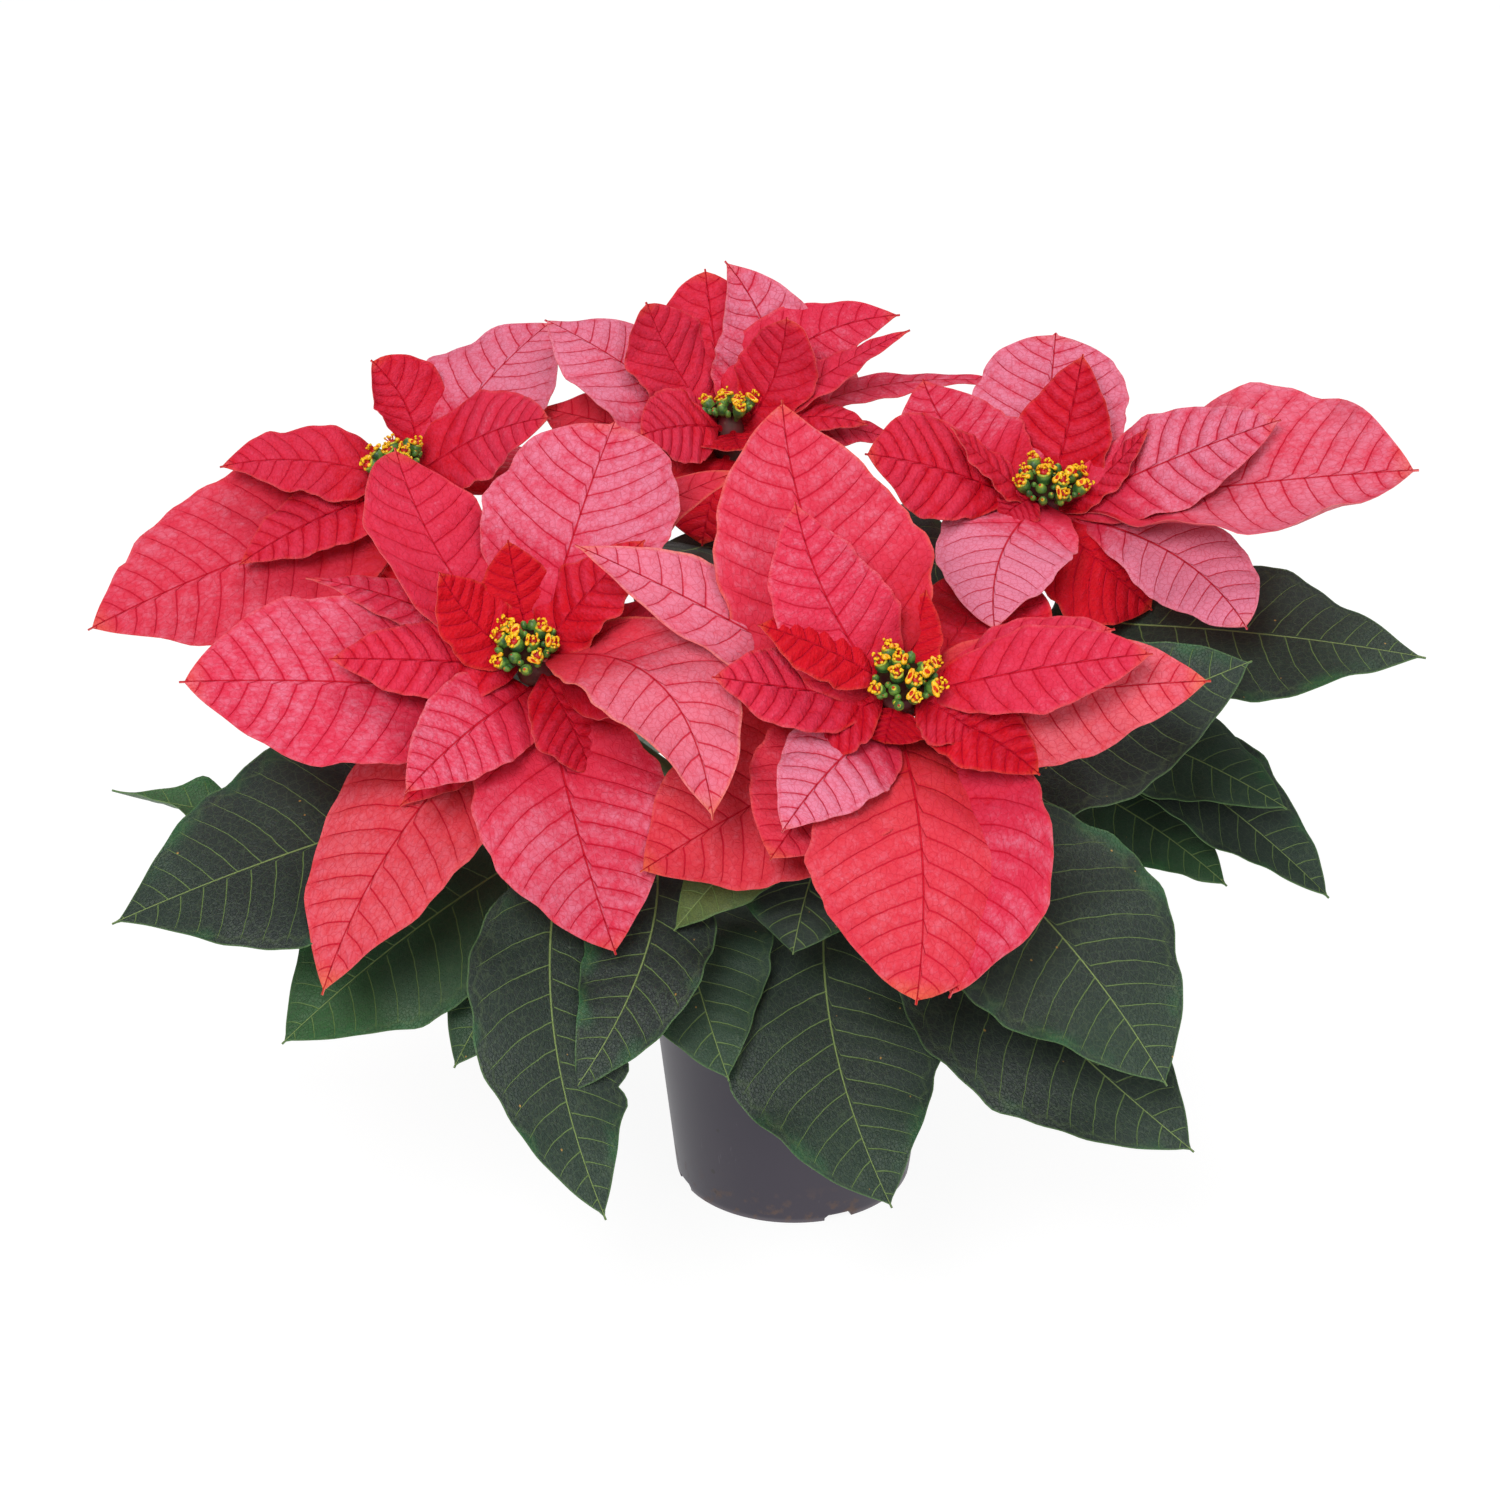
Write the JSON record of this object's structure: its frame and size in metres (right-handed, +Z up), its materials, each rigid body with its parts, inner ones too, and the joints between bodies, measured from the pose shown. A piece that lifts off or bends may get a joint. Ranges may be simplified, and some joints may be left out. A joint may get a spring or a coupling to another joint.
{
  "type": "potted poinsettia",
  "caption": "Bushy potted poinsettia with red bract heads over dark green leaves, standing in a plain round nursery pot filled with soil.",
  "frame": {"origin": "centre of the pot's underside, which stands on the floor", "axes": "+Z up through the pot's axis, -Y towards the front of the plant, +X to the right seen from the front"},
  "size_m": [0.4843, 0.3831, 0.3207],
  "materials": {
    "pot": "satin dark mauve-grey moulded plastic",
    "soil": "dry brown peat",
    "stem": "dull brown young bark",
    "leaf": "matte dark green with lighter veins",
    "bract": "matte salmon to deep red with darker veins",
    "flower": "green cups with yellow glands"
  },
  "bodies": {
    "root": {"pot": "pot", "soil": "soil", "main_stem": "stem", "leafy_stem_a": "leaf", "leafy_stem_b": "leaf", "leafy_stem_c": "leaf", "leafy_stem_d": "leaf", "leafy_stem_e": "leaf", "bracts_a": "bract", "bracts_b": "bract", "bracts_c": "bract", "bracts_d": "bract", "bracts_e": "bract", "flowers_a": "flower", "flowers_b": "flower", "flowers_c": "flower", "flowers_d": "flower", "flowers_e": "flower"}
  },
  "joints": []
}
